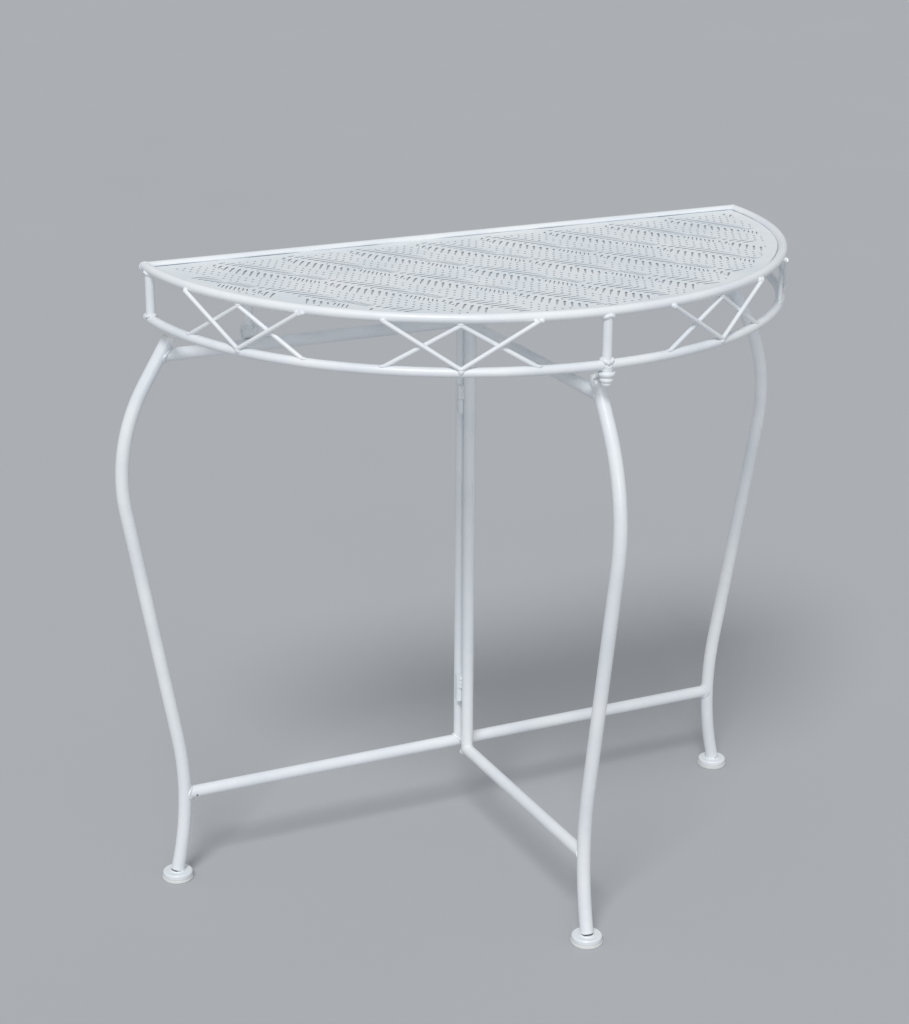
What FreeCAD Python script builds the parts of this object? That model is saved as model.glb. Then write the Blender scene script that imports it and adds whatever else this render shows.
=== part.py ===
import FreeCAD, Part
import math
import os
import Sketcher

# Folding half-round wall table in welded steel tube, painted white.
# Three bodies: a flat back frame that stands at the wall, a gate with the front leg that swings on the
# back post, and a half-round top that is hinged to the upper back rail.
# +X runs along the wall, +Y points to the wall, +Z is up, and the floor is at zero.
# The comments give heights above the floor and the reach of a leg from the axis of its post.

doc = FreeCAD.newDocument("folding_table")

dimensions = {
    # Whole table
    "total_height": 770.0,
    "top_radius": 387.0,
    "rear_overhang": 19.0,
    "apron_drop": 58.0,
    # Tubes and rods
    "bar_diameter": 11.0,
    "upright_diameter": 10.8,
    "leg_diameter": 16.0,
    "rail_diameter": 15.0,
    "post_diameter": 14.8,
    "tube_wall": 1.2,
    "rod_diameter": 5.0,
    # Curve of a leg: its waist above the floor, its bulge and its upper end below the top
    "waist_inset": 17.0,
    "waist_height": 115.5,
    "lower_bend": 430.0,
    "leg_slope": 10.0,
    "upper_bend": 220.0,
    "bulge_drop": 250.0,
    "leg_lean": 31.0,
    "leg_end_drop": 86.0,
    # Plug in the upper end of a leg
    "cap_thickness": 2.0,
    "cap_round": 0.8,
    "cap_plug": 9.0,
    "cap_fit": 0.1,
    # Feet
    "foot_height": 10.3,
    "foot_diameter": 36.0,
    "foot_round": 1.2,
    "glide_height": 5.0,
    "glide_band_diameter": 34.5,
    "glide_lip_diameter": 37.5,
    "glide_lip_height": 3.0,
    "glide_round": 0.8,
    # Rails and posts
    "post_spacing": 23.2,
    "upper_rail_drop": 105.0,
    "back_rail_height": 112.0,
    "gate_rail_height": 108.0,
    # Hinges of the gate
    "gate_barrel_diameter": 10.0,
    "gate_barrel_length": 16.8,
    "gate_barrel_clearance": 0.4,
    "gate_pin_diameter": 5.0,
    "gate_pin_recess": 1.0,
    "gate_web_width": 5.0,
    "upper_hinge_drop": 94.0,
    "lower_hinge_height": 190.0,
    "knuckle_gap": 0.3,
    "pin_clearance": 0.05,
    # Hinges of the top
    "top_hinge_setback": 8.0,
    "top_barrel_diameter": 16.0,
    "top_barrel_length": 16.3,
    "top_barrel_clearance": 0.3,
    "top_pin_diameter": 9.6,
    "top_pin_recess": 1.5,
    "top_web_width": 7.0,
    "top_hinge_inset": 117.0,
    # Uprights of the apron and the knob below its front
    "corner_angle": 88.3,
    "front_angle": 1.0,
    "knob_diameter": 19.2,
    "knob_height": 24.5,
    # Catch on the front leg, round the knob
    "catch_reach": 33.0,
    "catch_thickness": 3.0,
    "catch_rise": 2.5,
    "catch_width": 8.0,
    "catch_nose": 3.0,
    "catch_clearance": 1.2,
    # Bent rods of the apron
    "left_side_angle": 62.1,
    "left_front_angle": 24.6,
    "right_front_angle": 22.8,
    "right_side_angle": 61.8,
    "outer_half_angle": 11.9,
    "inner_half_angle": 12.4,
    "outer_rod_offset": 7.0,
    "outer_rod_drop": 3.0,
    "outer_bend_offset": 4.8,
    "outer_bend_rise": 5.0,
    "inner_rod_offset": 1.9,
    "inner_rod_seat": 0.3,
    "rod_bend": 4.0,
    # Perforated sheet of the top
    "sheet_thickness": 1.2,
    "sheet_border": 14.0,
    "cell_width": 84.0,
    "cell_depth": 126.0,
    "leaf_shift": 22.2,
    "leaf_setback": 13.8,
    "midrib_run": 54.7,
    "midrib_drop": 91.5,
    "midrib_width": 3.0,
    "slot_length": 25.0,
    "slot_inner_width": 3.4,
    "slot_outer_width": 1.2,
    "slot_first_angle": 49.0,
    "slot_last_angle": 70.0,
    # Overrun of every cutting tool
    "overrun": 5.0,
}

sheet = doc.addObject("Spreadsheet::Sheet", "Sheet")
for row, (alias, number) in enumerate(dimensions.items(), start=1):
    sheet.set("A%d" % row, alias.replace("_", " "))
    sheet.set("B%d" % row, str(number))
    sheet.setAlias("B%d" % row, alias)
doc.recompute()


class Size:
    """A length or angle worked out from the sheet, as the text of its expression and as a number."""

    def __init__(self, text, value):
        self.text = text
        self.value = value

    def __add__(self, other):
        other = as_size(other)
        return Size("(%s + %s)" % (self.text, other.text), self.value + other.value)

    def __sub__(self, other):
        other = as_size(other)
        return Size("(%s - %s)" % (self.text, other.text), self.value - other.value)

    def __mul__(self, other):
        other = as_size(other)
        return Size("(%s * %s)" % (self.text, other.text), self.value * other.value)

    def __truediv__(self, other):
        other = as_size(other)
        return Size("(%s / %s)" % (self.text, other.text), self.value / other.value)

    def __neg__(self):
        return Size("(0 - %s)" % self.text, -self.value)

    def __rmul__(self, other):
        return as_size(other) * self


def as_size(number):
    return number if isinstance(number, Size) else Size("%.12f" % number, number)


def root(size):
    return Size("sqrt(%s)" % size.text, math.sqrt(size.value))


def sine(angle):
    return Size("sin(%s)" % angle.text, math.sin(math.radians(angle.value)))


def cosine(angle):
    return Size("cos(%s)" % angle.text, math.cos(math.radians(angle.value)))


def tangent(angle):
    return Size("tan(%s)" % angle.text, math.tan(math.radians(angle.value)))


class Sheet:
    """The cells of the sheet, read by their aliases."""

    def __getattr__(self, alias):
        return Size("Sheet." + alias, float(getattr(sheet, alias)))


dim = Sheet()
zero = Size("0", 0.0)
X_AXIS = FreeCAD.Vector(1, 0, 0)
Y_AXIS = FreeCAD.Vector(0, 1, 0)
Z_AXIS = FreeCAD.Vector(0, 0, 1)
ALONG_X = FreeCAD.Rotation(Y_AXIS, 90)
ALONG_Y = FreeCAD.Rotation(X_AXIS, 90)
UPRIGHT = FreeCAD.Rotation()


def place(piece, spot, turn=UPRIGHT):
    piece.Placement = FreeCAD.Placement(FreeCAD.Vector(), turn)
    for axis, size in zip("xyz", spot):
        piece.setExpression("Placement.Base." + axis, size.text)
    return piece


def cylinder(name, radius, length, spot, turn=UPRIGHT):
    piece = doc.addObject("Part::Cylinder", name)
    piece.setExpression("Radius", radius.text)
    piece.setExpression("Height", length.text)
    return place(piece, spot, turn)


def torus(name, radius, tube, spot, turn=UPRIGHT, sweep=360):
    piece = doc.addObject("Part::Torus", name)
    piece.setExpression("Radius1", radius.text)
    piece.setExpression("Radius2", tube.text)
    piece.Angle3 = sweep
    return place(piece, spot, turn)


def half_space(name, spot, normal, side):
    """A cube whose lower face is centred on a spot, on the side that the normal points to."""
    turn = FreeCAD.Rotation(Z_AXIS, FreeCAD.Vector(*normal))
    shift = turn.multVec(FreeCAD.Vector(0.5, 0.5, 0))
    piece = doc.addObject("Part::Box", name)
    for edge in ("Length", "Width", "Height"):
        piece.setExpression(edge, side.text)
    corner = [at - side * part for at, part in zip(spot, shift)]
    return place(piece, corner, turn)


def joined(name, *pieces):
    piece = doc.addObject("Part::MultiFuse", name)
    piece.Shapes = list(pieces)
    return piece


def cut(name, base, *tools):
    """The base less each tool in turn. The last cut bears the name."""
    for number, tool in enumerate(tools, start=1):
        label = name if number == len(tools) else "%s_cut_%d" % (name, number)
        step = doc.addObject("Part::Cut", label)
        step.Base = base
        step.Tool = tool
        base = step
    return base


def group(name, *pieces):
    piece = doc.addObject("Part::Compound", name)
    piece.Links = list(pieces)
    return piece


def body_named(name, spot, turn=UPRIGHT):
    return place(doc.addObject("PartDesign::Body", name), spot, turn)


def plane_sketch(body, role, name):
    sketch = body.newObject("Sketcher::SketchObject", name)
    plane = [item for item in body.Origin.OriginFeatures if item.Role == role][0]
    sketch.AttachmentSupport = [(plane, "")]
    sketch.MapMode = "FlatFace"
    return sketch


def fix(sketch, geometry, point, across, up):
    """Holds a point of a sketch at two sizes, across and up from the sketch's origin."""
    for kind, size, axis in (("DistanceX", across, -2), ("DistanceY", up, -1)):
        if size is None:
            continue
        if abs(size.value) < 1e-9:
            sketch.addConstraint(Sketcher.Constraint("PointOnObject", geometry, point, axis))
            continue
        ends = (-1, 1, geometry, point) if size.value > 0 else (geometry, point, -1, 1)
        held = size if size.value > 0 else -size
        number = sketch.addConstraint(Sketcher.Constraint(kind, *ends, held.value))
        sketch.setExpression("Constraints[%d]" % number, held.text)


def fix_value(sketch, kind, geometry, size, factor=1.0):
    number = sketch.addConstraint(Sketcher.Constraint(kind, geometry, size.value * factor))
    sketch.setExpression("Constraints[%d]" % number, size.text)


def outline(sketch, corners):
    """A closed run of straight edges through corners that are given as two sizes each."""
    count = len(corners)
    spots = [FreeCAD.Vector(across.value, up.value, 0) for across, up in corners]
    for number in range(count):
        sketch.addGeometry(Part.LineSegment(spots[number], spots[(number + 1) % count]), False)
    for number in range(count):
        following = (number + 1) % count
        sketch.addConstraint(Sketcher.Constraint("Coincident", number, 2, following, 1))
    for number, (across, up) in enumerate(corners):
        fix(sketch, number, 1, across, up)


def turned(name, corners, spot, turn=UPRIGHT):
    """A solid of revolution about its own upright axis."""
    body = body_named(name, spot, turn)
    sketch = plane_sketch(body, "XZ_Plane", name + "_outline")
    outline(sketch, corners)
    revolution = body.newObject("PartDesign::Revolution", name + "_turned")
    revolution.Profile = sketch
    revolution.ReferenceAxis = (sketch, ["V_Axis"])
    revolution.Angle = 360
    return body


def piped(body, path, edge, parameter, radii):
    """A round bar, or a tube where two radii are given, along the path of its body."""
    profile = body.newObject("Sketcher::SketchObject", body.Name + "_section")
    profile.AttachmentSupport = [(path, edge)]
    profile.MapMode = "NormalToEdge"
    profile.MapPathParameter = parameter
    for number, radius in enumerate(radii):
        circle = Part.Circle(FreeCAD.Vector(), Z_AXIS, radius.value)
        profile.addGeometry(circle, False)
        profile.addConstraint(Sketcher.Constraint("Coincident", number, 3, -1, 1))
        fix_value(profile, "Radius", number, radius)
    pipe = body.newObject("PartDesign::AdditivePipe", body.Name + "_pipe")
    pipe.Profile = profile
    pipe.Spine = (path, [])
    return body


# Radii of the tubes, heights of the apron, and the line of the wall side
bar_radius = dim.bar_diameter / 2
rod_radius = dim.rod_diameter / 2
leg_radius = dim.leg_diameter / 2
leg_bore = leg_radius - dim.tube_wall
rail_radius = dim.rail_diameter / 2
rail_bore = rail_radius - dim.tube_wall
post_radius = dim.post_diameter / 2
post_bore = post_radius - dim.tube_wall
rim_height = dim.total_height - bar_radius
hoop_height = rim_height - dim.apron_drop

# Legs: one bend inwards above the foot, a straight run outwards, one bend back over the bulge and a
# straight run in to the upper end. Every leg has the same curve. The leg of the gate starts nearer its
# post, so that its upper end stands just behind the knob of the top.
quarter_turn = 90
leg_end_height = dim.total_height - dim.leg_end_drop
bulge_height = dim.total_height - dim.bulge_drop
upper_rail_height = dim.total_height - dim.upper_rail_drop
waist_reach = dim.top_radius - dim.waist_inset
lower_centre = waist_reach + dim.lower_bend
knee_reach = lower_centre - dim.lower_bend * cosine(dim.leg_slope)
knee_height = dim.waist_height + dim.lower_bend * sine(dim.leg_slope)
shoulder_height = bulge_height - dim.upper_bend * sine(dim.leg_slope)
shoulder_reach = knee_reach + (shoulder_height - knee_height) * tangent(dim.leg_slope)
upper_centre = shoulder_reach - dim.upper_bend * cosine(dim.leg_slope)
bend_end_reach = upper_centre + dim.upper_bend * cosine(dim.leg_lean)
bend_end_height = bulge_height + dim.upper_bend * sine(dim.leg_lean)
foot_start = (dim.foot_height + leg_radius * dim.waist_height / dim.lower_bend) / (
    leg_radius / dim.lower_bend + 1)


def lower_reach(height):
    rise = height - dim.waist_height
    return lower_centre - root(dim.lower_bend * dim.lower_bend - rise * rise)


def upper_reach(height):
    return bend_end_reach - (height - bend_end_height) * tangent(dim.leg_lean)


leg_end_reach = upper_reach(leg_end_height)
knob_reach = dim.top_radius * cosine(dim.front_angle) - dim.rear_overhang
gate_end_reach = knob_reach - dim.post_spacing - dim.catch_reach
gate_inset = leg_end_reach - gate_end_reach

# The origin is under the middle of the whole table, so the back frame stands off it by half of the
# difference between the front reach of the bulging leg and the rear reach of the top.
front_reach = dim.post_spacing + upper_centre + dim.upper_bend - gate_inset + leg_radius
rear_reach = dim.rear_overhang + bar_radius
back_plane = (front_reach - rear_reach) / 2
front_plane = back_plane - dim.post_spacing
top_centre = back_plane + dim.rear_overhang


def leg(name, inset, spot, turn):
    body = body_named(name, spot, turn)
    path = plane_sketch(body, "XZ_Plane", name + "_path")
    near, far = lower_centre - inset, upper_centre - inset
    low = FreeCAD.Vector(near.value, dim.waist_height.value, 0)
    high = FreeCAD.Vector(far.value, bulge_height.value, 0)
    slope = math.radians(dim.leg_slope.value)
    foot_turn = math.asin((dim.waist_height.value - foot_start.value) / dim.lower_bend.value)
    lean = math.radians(dim.leg_lean.value)
    first = Part.Circle(low, Z_AXIS, dim.lower_bend.value)
    second = Part.Circle(high, Z_AXIS, dim.upper_bend.value)
    lower = Part.ArcOfCircle(first, math.pi - slope, math.pi + foot_turn)
    upper = Part.ArcOfCircle(second, -slope, lean)
    end = FreeCAD.Vector((leg_end_reach - inset).value, leg_end_height.value, 0)
    path.addGeometry(lower, False)
    path.addGeometry(Part.LineSegment(lower.StartPoint, upper.StartPoint), False)
    path.addGeometry(upper, False)
    path.addGeometry(Part.LineSegment(upper.EndPoint, end), False)
    path.addConstraint(Sketcher.Constraint("Tangent", 0, 1, 1, 1))
    path.addConstraint(Sketcher.Constraint("Tangent", 1, 2, 2, 1))
    path.addConstraint(Sketcher.Constraint("Tangent", 2, 2, 3, 1))
    fix(path, 0, 3, near, dim.waist_height)
    fix_value(path, "Radius", 0, dim.lower_bend)
    fix(path, 0, 2, None, foot_start)
    fix_value(path, "Angle", 1, as_size(quarter_turn) - dim.leg_slope, math.pi / 180)
    fix(path, 2, 3, None, bulge_height)
    fix_value(path, "Radius", 2, dim.upper_bend)
    fix_value(path, "Angle", 3, as_size(quarter_turn) + dim.leg_lean, math.pi / 180)
    fix(path, 3, 2, None, leg_end_height)
    doc.recompute()
    return piped(body, path, "Edge1", 1.0, (leg_radius, leg_bore))


TO_LEFT = FreeCAD.Rotation(Z_AXIS, 180)
TO_FRONT = FreeCAD.Rotation(Z_AXIS, -90)
left_leg = leg("left_leg", zero, (zero, back_plane, zero), TO_LEFT)
right_leg = leg("right_leg", zero, (zero, back_plane, zero), UPRIGHT)
front_leg = leg("front_leg", gate_inset, (zero, front_plane, zero), TO_FRONT)

# Plugs in the upper ends: a flush disc with a rounded edge on a spigot in the bore
cap_outline = [
    (zero, -dim.cap_plug),
    (leg_bore - dim.cap_fit, -dim.cap_plug),
    (leg_bore - dim.cap_fit, zero),
    (leg_radius, zero),
    (leg_radius, dim.cap_thickness - dim.cap_round),
    (leg_radius - dim.cap_round, dim.cap_thickness),
    (zero, dim.cap_thickness),
]
lean_in = FreeCAD.Rotation(Y_AXIS, -dim.leg_lean.value)
left_cap = turned(
    "left_leg_cap", cap_outline, (-leg_end_reach, back_plane, leg_end_height), TO_LEFT.multiply(lean_in))
right_cap = turned(
    "right_leg_cap", cap_outline, (leg_end_reach, back_plane, leg_end_height), lean_in)
back_leg_caps = group("back_leg_caps", left_cap, right_cap)
front_leg_cap = turned(
    "front_leg_cap", cap_outline, (zero, front_plane - gate_end_reach, leg_end_height),
    TO_FRONT.multiply(lean_in))

# Feet: a steel disc under each leg, and a plastic glide with a lip below it
foot_reach = lower_reach(foot_start)
foot_radius = dim.foot_diameter / 2
band_radius = dim.glide_band_diameter / 2
lip_radius = dim.glide_lip_diameter / 2
disc_outline = [
    (zero, dim.glide_height),
    (foot_radius, dim.glide_height),
    (foot_radius, dim.foot_height - dim.foot_round),
    (foot_radius - dim.foot_round, dim.foot_height),
    (zero, dim.foot_height),
]
glide_outline = [
    (zero, zero),
    (lip_radius - dim.glide_round, zero),
    (lip_radius, dim.glide_round),
    (lip_radius, dim.glide_lip_height),
    (band_radius, dim.glide_lip_height),
    (band_radius, dim.glide_height),
    (zero, dim.glide_height),
]
foot_spots = {
    "left": (-foot_reach, back_plane, zero),
    "right": (foot_reach, back_plane, zero),
    "front": (zero, front_plane - foot_reach + gate_inset, zero),
}
feet = {}
for side, spot in foot_spots.items():
    feet[side] = [
        turned(side + "_foot_disc", disc_outline, spot),
        turned(side + "_foot_glide", glide_outline, spot),
    ]


def tube(name, radius, bore, length, spot, turn, *tools):
    """A round tube along its turn, with its ends cut to the tools that are given."""
    outside = cylinder(name + "_outside", radius, length, spot, turn)
    inside = cylinder(name + "_inside", bore, length, spot, turn)
    return cut(name, outside, inside, *tools)


# Skins of the legs at the height of each rail: the lower rails end on the bend above the feet,
# the upper rails on the straight run below the upper ends.
def lower_skin(name, across, along):
    turn = ALONG_Y if across is not zero else ALONG_X
    return torus(name, dim.lower_bend, leg_radius, (across, along, dim.waist_height), turn)


def upper_skin(name, across, along, turn):
    length = leg_end_height - bulge_height
    half = length / 2
    start = upper_rail_height - half * cosine(dim.leg_lean)
    shift = half * sine(dim.leg_lean)
    outward = turn.multVec(X_AXIS)
    spot = (across + shift * outward.x, along + shift * outward.y, start)
    return cylinder(name, leg_radius, length, spot, turn.multiply(lean_in))


upper_half = upper_reach(upper_rail_height)
lower_half = lower_reach(dim.back_rail_height)
back_upper_rail = tube(
    "back_upper_rail", rail_radius, rail_bore, upper_half * 2,
    (-upper_half, back_plane, upper_rail_height), ALONG_X,
    upper_skin("left_upper_skin", -upper_half, back_plane, TO_LEFT),
    upper_skin("right_upper_skin", upper_half, back_plane, UPRIGHT))
back_lower_rail = tube(
    "back_lower_rail", rail_radius, rail_bore, lower_half * 2,
    (-lower_half, back_plane, dim.back_rail_height), ALONG_X,
    lower_skin("left_lower_skin", -lower_centre, back_plane),
    lower_skin("right_lower_skin", lower_centre, back_plane))

# Back post: between the two back rails, both ends shaped to the rails
upper_rail_skin = cylinder(
    "upper_rail_skin", rail_radius, upper_half * 2,
    (-upper_half, back_plane, upper_rail_height), ALONG_X)
lower_rail_skin = cylinder(
    "lower_rail_skin", rail_radius, lower_half * 2,
    (-lower_half, back_plane, dim.back_rail_height), ALONG_X)
back_post = tube(
    "back_post", post_radius, post_bore, upper_rail_height - dim.back_rail_height,
    (zero, back_plane, dim.back_rail_height), UPRIGHT, upper_rail_skin, lower_rail_skin)

# Gate: the front post and its two rails meet in mitres, and the rails end on the front leg
mitre_side = dim.rail_diameter * 3
upper_corner = (zero, front_plane, upper_rail_height)
lower_corner = (zero, front_plane, dim.gate_rail_height)
front_post = tube(
    "front_post", post_radius, post_bore,
    upper_rail_height - dim.gate_rail_height + dim.rail_diameter,
    (zero, front_plane, dim.gate_rail_height - rail_radius), UPRIGHT,
    half_space("front_post_upper_mitre", upper_corner, (0, -1, 1), mitre_side),
    half_space("front_post_lower_mitre", lower_corner, (0, -1, -1), mitre_side))
gate_upper_reach = upper_half - gate_inset
gate_lower_reach = lower_reach(dim.gate_rail_height) - gate_inset
front_upper_rail = tube(
    "front_upper_rail", rail_radius, rail_bore, gate_upper_reach + post_radius,
    (zero, front_plane + post_radius, upper_rail_height), ALONG_Y,
    half_space("front_upper_rail_mitre", upper_corner, (0, 1, -1), mitre_side),
    upper_skin("front_upper_skin", zero, front_plane - gate_upper_reach, TO_FRONT))
front_lower_rail = tube(
    "front_lower_rail", rail_radius, rail_bore, gate_lower_reach + post_radius,
    (zero, front_plane + post_radius, dim.gate_rail_height), ALONG_Y,
    half_space("front_lower_rail_mitre", lower_corner, (0, 1, 1), mitre_side),
    lower_skin("front_lower_skin", zero, front_plane - lower_centre + gate_inset))

# Gate hinges: two pairs of barrels beside the posts. The axis lies half-way between the posts and to
# the left of them, so that the gate folds flat against the back frame. The barrel of the gate stands on
# the barrel of the frame, and a web joins each barrel to its own post.
barrel_radius = dim.gate_barrel_diameter / 2
barrel_reach = post_radius + barrel_radius + dim.gate_barrel_clearance
half_spacing = dim.post_spacing / 2
gate_axis_x = -root(barrel_reach * barrel_reach - half_spacing * half_spacing)
gate_axis_y = back_plane - half_spacing
gate_bore = dim.gate_pin_diameter / 2 + dim.pin_clearance


def gate_barrel(name, bottom, towards, post_line):
    """One barrel with its web towards the post behind it (1) or in front of it (-1)."""
    spot = (gate_axis_x, gate_axis_y, bottom)
    barrel = cylinder(name + "_barrel", barrel_radius, dim.gate_barrel_length, spot)
    web = doc.addObject("Part::Box", name + "_web")
    web.setExpression("Length", barrel_reach.text)
    web.setExpression("Width", dim.gate_web_width.text)
    web.setExpression("Height", dim.gate_barrel_length.text)
    across = -gate_axis_x / barrel_reach
    along = half_spacing / barrel_reach
    heading = math.degrees(math.atan2(towards * along.value, across.value))
    half = dim.gate_web_width / 2
    corner = (gate_axis_x + half * along * towards, gate_axis_y - half * across, bottom)
    place(web, corner, FreeCAD.Rotation(Z_AXIS, heading))
    low = bottom - dim.overrun
    length = dim.gate_barrel_length + dim.overrun * 2
    bore = cylinder(name + "_bore", gate_bore, length, (gate_axis_x, gate_axis_y, low))
    post = cylinder(name + "_post", post_radius, length, (zero, post_line, low))
    return cut(name, joined(name + "_blank", barrel, web), bore, post)


frame_barrels = []
gate_barrels = []
gate_pins = []
hinge_heights = {"upper": upper_rail_height - dim.upper_hinge_drop, "lower": dim.lower_hinge_height}
for level, height in hinge_heights.items():
    under = height - dim.knuckle_gap / 2 - dim.gate_barrel_length
    over = height + dim.knuckle_gap / 2
    frame_barrels.append(gate_barrel(level + "_frame_knuckle", under, 1, back_plane))
    gate_barrels.append(gate_barrel(level + "_gate_knuckle", over, -1, front_plane))
    pin_length = (dim.gate_barrel_length - dim.gate_pin_recess) * 2 + dim.knuckle_gap
    gate_pins.append(cylinder(
        level + "_gate_pin", dim.gate_pin_diameter / 2, pin_length,
        (gate_axis_x, gate_axis_y, under + dim.gate_pin_recess)))
frame_gate_knuckles = group("frame_gate_knuckles", *frame_barrels)
gate_knuckles = group("gate_knuckles", *gate_barrels)
gate_hinge_pins = group("gate_hinge_pins", *gate_pins)

# Top hinges: thick barrels above the upper rail, set back from it. The inner barrel of each pair is
# welded on the rail, the outer one carries a short post up to the rear tube of the top.
hinge_radius = dim.top_barrel_diameter / 2
hinge_distance = rail_radius + hinge_radius + dim.top_barrel_clearance
hinge_rise = root(hinge_distance * hinge_distance - dim.top_hinge_setback * dim.top_hinge_setback)
hinge_height = upper_rail_height + hinge_rise
hinge_line = back_plane + dim.top_hinge_setback
hinge_bore = dim.top_pin_diameter / 2 + dim.pin_clearance
hinge_reach = dim.top_radius - dim.top_hinge_inset
moving_start = hinge_reach - dim.top_barrel_length / 2
fixed_start = moving_start - dim.knuckle_gap - dim.top_barrel_length


def top_barrel(name, start):
    return cylinder(
        name + "_barrel", hinge_radius, dim.top_barrel_length, (start, hinge_line, hinge_height), ALONG_X)


def top_bore(name, start):
    return cylinder(
        name + "_bore", hinge_bore, dim.top_barrel_length + dim.overrun * 2,
        (start - dim.overrun, hinge_line, hinge_height), ALONG_X)


rail_knuckle_pieces = []
top_knuckle_pieces = []
top_pins = []
drop_posts = []
sheet_underside = rim_height - dim.sheet_thickness / 2
for side, sign in (("left", -1), ("right", 1)):
    fixed = fixed_start if sign > 0 else -fixed_start - dim.top_barrel_length
    moving = moving_start if sign > 0 else -moving_start - dim.top_barrel_length
    web = doc.addObject("Part::Box", side + "_rail_web")
    web.setExpression("Length", dim.top_barrel_length.text)
    web.setExpression("Width", dim.top_web_width.text)
    web.setExpression("Height", hinge_distance.text)
    tilt = math.degrees(math.atan2(dim.top_hinge_setback.value, hinge_rise.value))
    sideways = hinge_rise / hinge_distance * dim.top_web_width / 2
    upwards = dim.top_hinge_setback / hinge_distance * dim.top_web_width / 2
    place(
        web, (fixed, back_plane - sideways, upper_rail_height + upwards),
        FreeCAD.Rotation(X_AXIS, -tilt))
    rail = cylinder(
        side + "_rail_seat", rail_radius, dim.top_barrel_length + dim.overrun * 2,
        (fixed - dim.overrun, back_plane, upper_rail_height), ALONG_X)
    blank = joined(side + "_rail_blank", top_barrel(side + "_rail", fixed), web)
    rail_knuckle_pieces.append(cut(
        side + "_rail_knuckle", blank, top_bore(side + "_rail", fixed), rail))
    top_knuckle_pieces.append(cut(
        side + "_top_knuckle", top_barrel(side + "_top", moving), top_bore(side + "_top", moving)))
    pin_length = (dim.top_barrel_length - dim.top_pin_recess) * 2 + dim.knuckle_gap
    pin_start = fixed_start + dim.top_pin_recess
    pin_start = pin_start if sign > 0 else -pin_start - pin_length
    top_pins.append(cylinder(
        side + "_top_pin", dim.top_pin_diameter / 2, pin_length,
        (pin_start, hinge_line, hinge_height), ALONG_X))
    seat = cylinder(
        side + "_drop_seat", hinge_radius, dim.top_barrel_length,
        (moving, hinge_line, hinge_height), ALONG_X)
    stem = cylinder(
        side + "_drop_stem", bar_radius, sheet_underside - hinge_height,
        (hinge_reach * sign, hinge_line, hinge_height))
    drop_posts.append(cut(side + "_drop_post", stem, seat))
rail_knuckles = group("rail_knuckles", *rail_knuckle_pieces)
top_knuckles = group("top_knuckles", *top_knuckle_pieces)
top_hinge_pins = group("top_hinge_pins", *top_pins)

# Rim of the top: a half-round bar that is carried on past its ends, mitred to a straight rear bar
rim_body = body_named("rim_bar", (zero, top_centre, rim_height))
rim_path = plane_sketch(rim_body, "XY_Plane", "rim_path")
radius = dim.top_radius
stub = bar_radius + dim.overrun
ring = Part.Circle(FreeCAD.Vector(), Z_AXIS, radius.value)
left_end = FreeCAD.Vector(-radius.value, 0, 0)
right_end = FreeCAD.Vector(radius.value, 0, 0)
lift = FreeCAD.Vector(0, stub.value, 0)
rim_path.addGeometry(Part.LineSegment(left_end + lift, left_end), False)
rim_path.addGeometry(Part.ArcOfCircle(ring, math.pi, 2 * math.pi), False)
rim_path.addGeometry(Part.LineSegment(right_end, right_end + lift), False)
rim_path.addConstraint(Sketcher.Constraint("Tangent", 0, 2, 1, 1))
rim_path.addConstraint(Sketcher.Constraint("Tangent", 1, 2, 2, 1))
rim_path.addConstraint(Sketcher.Constraint("Coincident", 1, 3, -1, 1))
fix_value(rim_path, "Radius", 1, radius)
rim_path.addConstraint(Sketcher.Constraint("Vertical", 0))
rim_path.addConstraint(Sketcher.Constraint("Vertical", 2))
fix(rim_path, 0, 1, None, stub)
fix(rim_path, 2, 2, None, stub)
doc.recompute()
piped(rim_body, rim_path, "Edge1", 0.0, (bar_radius,))
left_corner = (-radius, top_centre, rim_height)
right_corner = (radius, top_centre, rim_height)
corner_side = dim.bar_diameter * 4
rim_arc = cut(
    "rim_arc", rim_body,
    half_space("rim_left_mitre", left_corner, (1, 1, 0), corner_side),
    half_space("rim_right_mitre", right_corner, (-1, 1, 0), corner_side))
rear_bar = cylinder(
    "rear_bar", bar_radius, (radius + stub) * 2, (-radius - stub, top_centre, rim_height), ALONG_X)
rim_rear_tube = cut(
    "rim_rear_tube", rear_bar,
    half_space("rear_left_mitre", left_corner, (-1, -1, 0), corner_side),
    half_space("rear_right_mitre", right_corner, (1, -1, 0), corner_side))

# Hoop of the apron: the same half-round below the rim, open at the wall
apron_hoop = torus(
    "apron_hoop", radius, bar_radius, (zero, top_centre, hoop_height), FreeCAD.Rotation(Z_AXIS, 180), 180)
rim_skin = torus("rim_skin", radius, bar_radius, (zero, top_centre, rim_height))
hoop_skin = torus("hoop_skin", radius, bar_radius, (zero, top_centre, hoop_height))


def on_circle(distance, angle, height):
    """A spot at a distance from the middle of the top and at an angle from its front, to the right."""
    return (distance * sine(angle), top_centre - distance * cosine(angle), height)


def upright(name, angle):
    bar = cylinder(
        name + "_bar", dim.upright_diameter / 2, dim.apron_drop, on_circle(radius, angle, hoop_height))
    return cut(name, bar, rim_skin, hoop_skin)


left_corner_upright = upright("left_corner_upright", -dim.corner_angle)
right_corner_upright = upright("right_corner_upright", dim.corner_angle)
front_upright = upright("front_upright", -dim.front_angle)

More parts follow.
